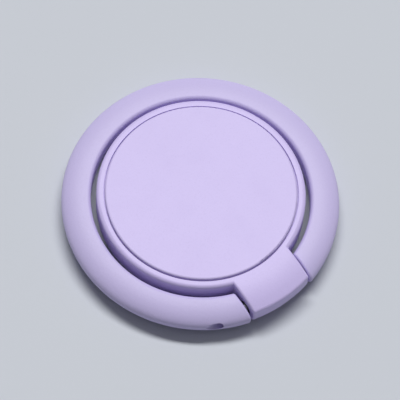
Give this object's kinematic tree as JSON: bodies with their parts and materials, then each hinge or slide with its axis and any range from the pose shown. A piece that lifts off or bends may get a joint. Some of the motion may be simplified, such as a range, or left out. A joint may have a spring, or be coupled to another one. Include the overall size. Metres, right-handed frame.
{
  "type": "phone ring holder",
  "caption": "Round stick-on finger ring for the back of a handset: a flat cover on a swivelling disc, with a domed ring hinged on the disc's lug so that it folds flat or stands up.",
  "frame": {"origin": "centre of the adhesive face, on the swivel axis", "axes": "+Z away from the surface that it sticks to, the hinge lug along -Y, the hinge line along X"},
  "size_m": [0.0312, 0.031, 0.0046],
  "materials": {
    "lavender_paint": "satin lavender paint on zinc alloy and sheet steel",
    "plated_steel": "zinc-plated sheet steel, brushed",
    "rivet_steel": "bright turned steel",
    "spring_steel": "dark oiled spring steel",
    "white_acetal": "natural white acetal",
    "foam_tape": "dark grey acrylic foam tape",
    "film_tape": "thin translucent double-sided film tape"
  },
  "bodies": {
    "base": {"adhesive_pad": "foam_tape", "base_plate": "plated_steel", "pivot_rivet": "rivet_steel", "rivet_washer": "plated_steel", "disc_spring": "spring_steel"},
    "turntable": {"turntable": "lavender_paint", "swivel_washer": "white_acetal", "cover_tape": "film_tape", "cover_plate": "lavender_paint", "hinge_sleeve": "spring_steel"},
    "ring": {"finger_ring": "lavender_paint", "hinge_pin": "rivet_steel"}
  },
  "joints": [
    {"name": "swivel", "type": "hinge", "parent": "base", "child": "turntable", "pos_m": [0, 0, 0.0013], "axis": [0, 0, 1], "continuous": true},
    {"name": "ring_flip", "type": "hinge", "parent": "turntable", "child": "ring", "pos_m": [0, -0.01338, 0.0022], "axis": [1, 0, 0], "range_deg": [0, 180]}
  ]
}
